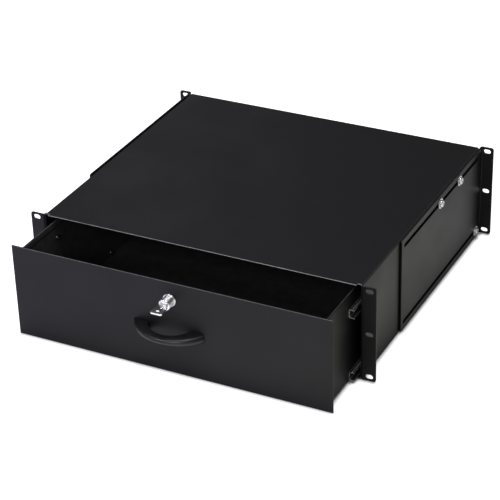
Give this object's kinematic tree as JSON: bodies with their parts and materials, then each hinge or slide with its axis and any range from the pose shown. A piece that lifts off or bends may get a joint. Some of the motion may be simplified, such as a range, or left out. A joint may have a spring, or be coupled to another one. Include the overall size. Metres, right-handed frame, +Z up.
{
  "type": "sliding rack drawer",
  "caption": "Lockable sliding drawer for a 19-inch rack: folded steel case with ears, ball slides, adjustable rear brackets, bow handle and keyed cam lock.",
  "frame": {"origin": "centre of the front ears' corner slots, on the rear face of the ears, which meets the rack", "axes": "+X to the right as seen from the front, +Y to the back along the drawer's travel, +Z up"},
  "size_m": [0.4826, 0.5208, 0.1338],
  "materials": {
    "black_powder_coat": "satin black powder coat, fine texture",
    "rail_steel": "black passivated rolled steel, bright worn edges",
    "black_plastic": "moulded black plastic, satin",
    "lock_chrome": "polished",
    "key_steel": "nickel plated, stamped",
    "zinc_steel": "bright zinc plate",
    "ball_steel": "polished, thin film of grease"
  },
  "bodies": {
    "case": {"case_cover": "black_powder_coat", "case_floor": "black_powder_coat", "case_back": "black_powder_coat", "lock_keeper": "black_powder_coat", "case_rail_lower_left": "rail_steel", "case_rail_lower_right": "rail_steel", "case_rail_upper_left": "rail_steel", "case_rail_upper_right": "rail_steel", "rail_rivets": "black_powder_coat", "bracket_screws": "zinc_steel", "bracket_washers": "zinc_steel", "rivet_nuts": "zinc_steel"},
    "drawer": {"drawer_front": "black_powder_coat", "drawer_floor": "black_powder_coat", "drawer_side_left": "black_powder_coat", "drawer_side_right": "black_powder_coat", "drawer_end_front": "black_powder_coat", "drawer_end_rear": "black_powder_coat", "stud_nuts": "zinc_steel", "handle": "black_plastic", "handle_screws": "zinc_steel", "drawer_rail_lower_left": "rail_steel", "drawer_rail_lower_right": "rail_steel", "drawer_rail_upper_left": "rail_steel", "drawer_rail_upper_right": "rail_steel", "drawer_rail_screws": "zinc_steel", "lock_housing": "lock_chrome", "lock_nut": "zinc_steel"},
    "ball_cages": {"ball_cage_lower_left": "rail_steel", "ball_cage_lower_right": "rail_steel", "ball_cage_upper_left": "rail_steel", "ball_cage_upper_right": "rail_steel", "slide_balls_left": "ball_steel", "slide_balls_right": "ball_steel"},
    "lock_cylinder": {"lock_plug": "lock_chrome", "key": "key_steel", "lock_cam": "zinc_steel", "cam_screw": "zinc_steel"},
    "bracket_left": {"rear_bracket_left": "black_powder_coat"},
    "bracket_right": {"rear_bracket_right": "black_powder_coat"}
  },
  "joints": [
    {"name": "drawer_slide", "type": "slide", "parent": "case", "child": "drawer", "axis": [0, -1, 0], "range_m": [-0.0777, 0.1523]},
    {"name": "cage_slide", "type": "slide", "parent": "case", "child": "ball_cages", "axis": [0, -1, 0], "range_m": [-0.03885, 0.07615]},
    {"name": "lock_turn", "type": "hinge", "parent": "drawer", "child": "lock_cylinder", "pos_m": [0.0037, -0.0943, 0.0367], "axis": [0, 1, 0], "range_deg": [0, 90]},
    {"name": "bracket_left_slide", "type": "slide", "parent": "case", "child": "bracket_left", "axis": [0, 1, 0], "range_m": [0, 0.11]},
    {"name": "bracket_right_slide", "type": "slide", "parent": "case", "child": "bracket_right", "axis": [0, 1, 0], "range_m": [0, 0.11]}
  ],
  "couplings": [
    {"joint": "cage_slide", "follows": "drawer_slide", "ratio": 0.5}
  ]
}
